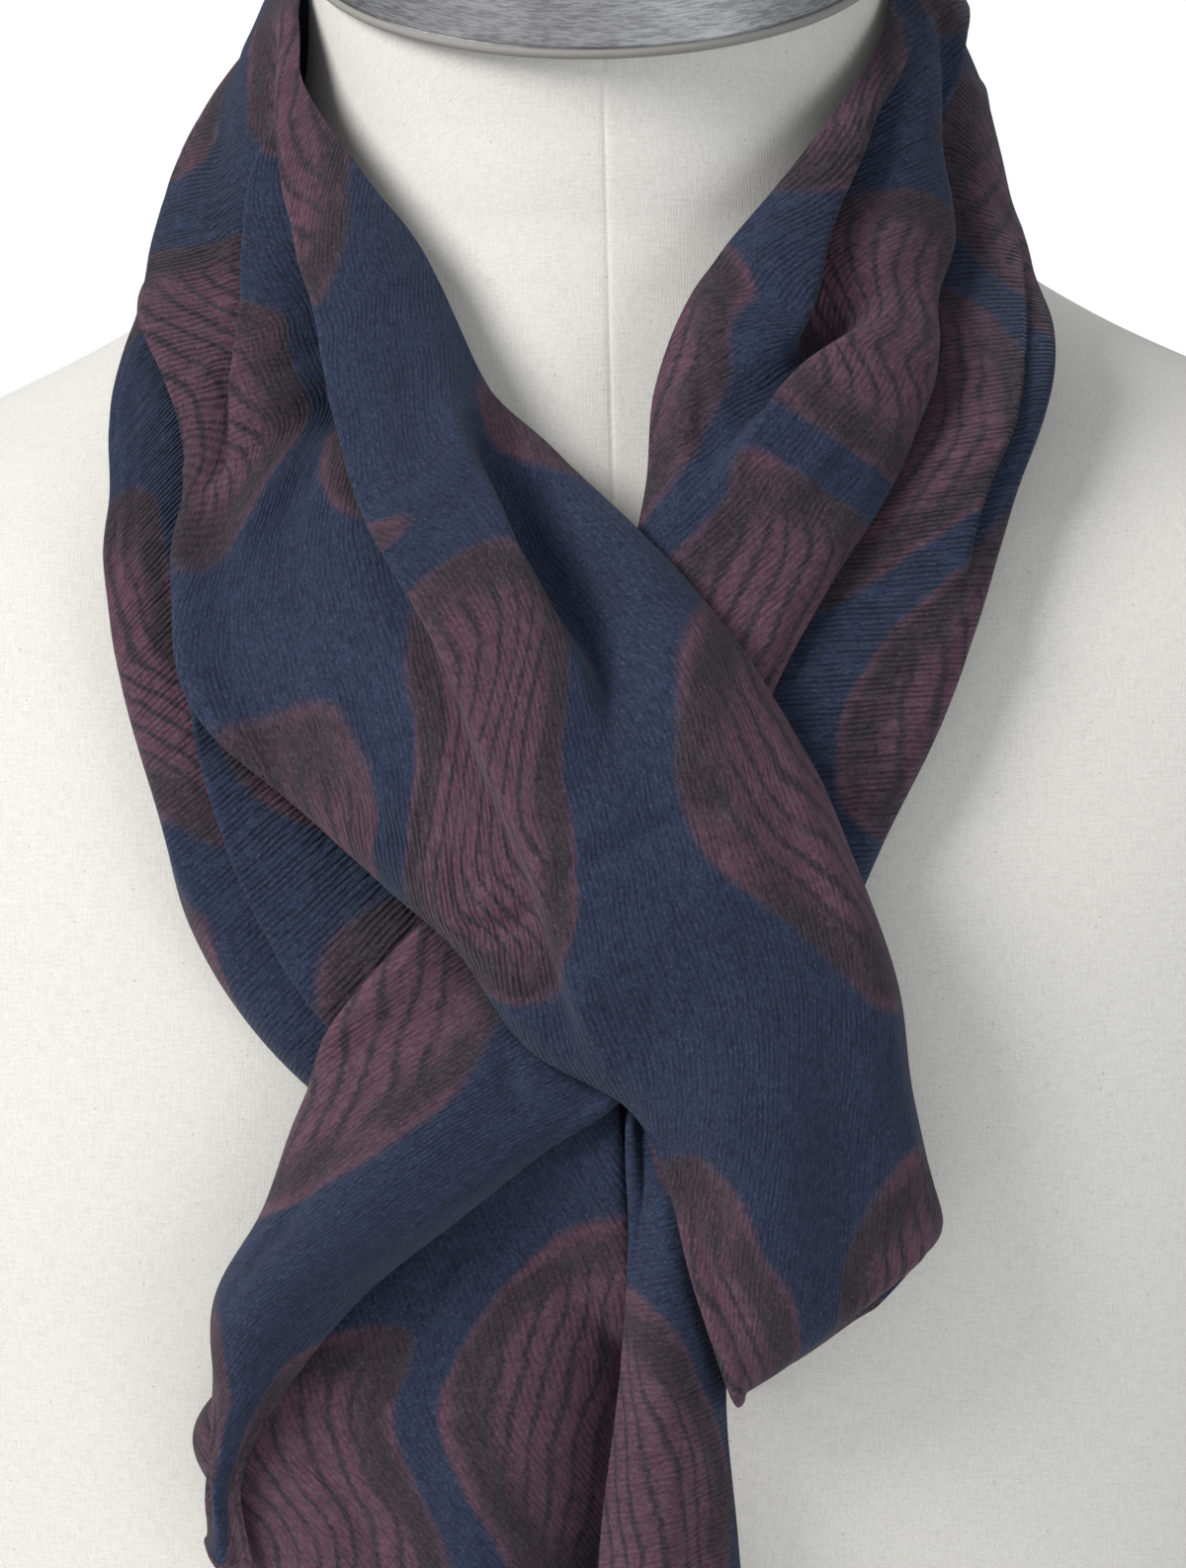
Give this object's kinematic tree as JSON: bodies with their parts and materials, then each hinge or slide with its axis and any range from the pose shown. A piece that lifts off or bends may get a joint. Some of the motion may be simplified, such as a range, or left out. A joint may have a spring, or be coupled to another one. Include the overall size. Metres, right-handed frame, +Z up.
{
  "type": "wool scarf on a dress form",
  "caption": "Wide printed wool scarf looped round the neck of a limbless linen dress form with a metal neck cap, both tails hanging down the front.",
  "frame": {"origin": "centre of the dress form's flat underside", "axes": "+Z up, the front of the form and the scarf's crossing face -Y, +X to the right as seen from the front"},
  "size_m": [0.41, 0.2692, 0.716],
  "materials": {
    "linen": "plain-woven natural linen, matt",
    "brushed_metal": "brushed round the neck, satin",
    "printed_wool": "soft fulled wool twill, navy with large burgundy shapes, matt with a light nap"
  },
  "bodies": {
    "root": {"form_body": "linen", "neck_cap": "brushed_metal", "loop_front": "printed_wool", "loop_back": "printed_wool", "strand_inner": "printed_wool", "strand_outer": "printed_wool", "left_tail": "printed_wool"}
  },
  "joints": []
}
